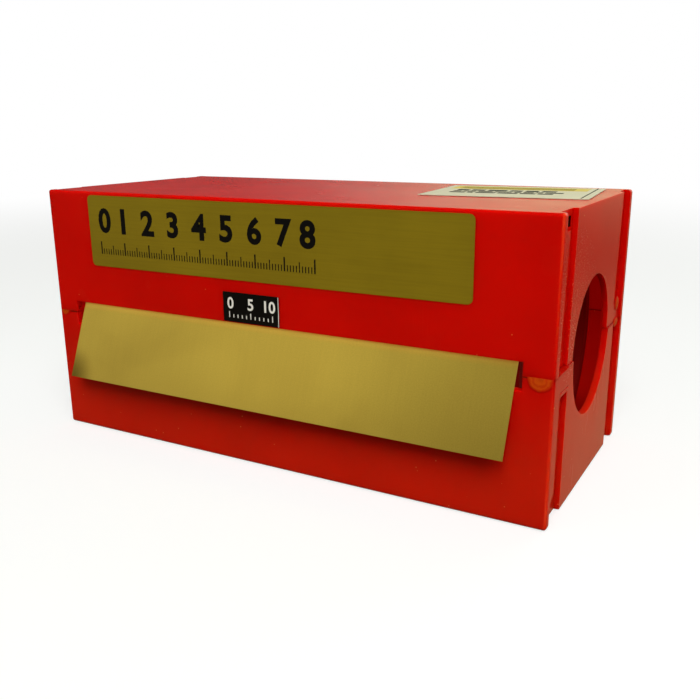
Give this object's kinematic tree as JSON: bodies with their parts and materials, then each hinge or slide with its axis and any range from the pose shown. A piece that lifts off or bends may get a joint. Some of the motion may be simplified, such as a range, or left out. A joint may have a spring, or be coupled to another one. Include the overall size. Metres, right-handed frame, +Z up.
{
  "type": "boxed shim foil roll",
  "caption": "Coil of brass shim foil in a glued two-part moulded box, with finger holes in both ends and a slot at the front through which the free end of the foil is drawn.",
  "frame": {"origin": "middle of the housing's flat underside, leaving out the foil that sticks out at the front", "axes": "+X along the length of the box, from left to right as seen from the slot; -Y towards the front with the slot; +Z up"},
  "size_m": [0.17, 0.0844, 0.0807],
  "materials": {
    "red_plastic": "glossy signal-red moulded polystyrene",
    "brass": "satin rolled brass foil",
    "gold_label": "satin gold film",
    "black_label": "satin black film",
    "top_label": "coated white paper with a yellow band"
  },
  "bodies": {
    "root": {"upper_shell": "red_plastic", "lower_shell": "red_plastic", "brass_foil": "brass", "front_label": "gold_label", "thickness_label": "black_label", "top_label": "top_label"}
  },
  "joints": []
}
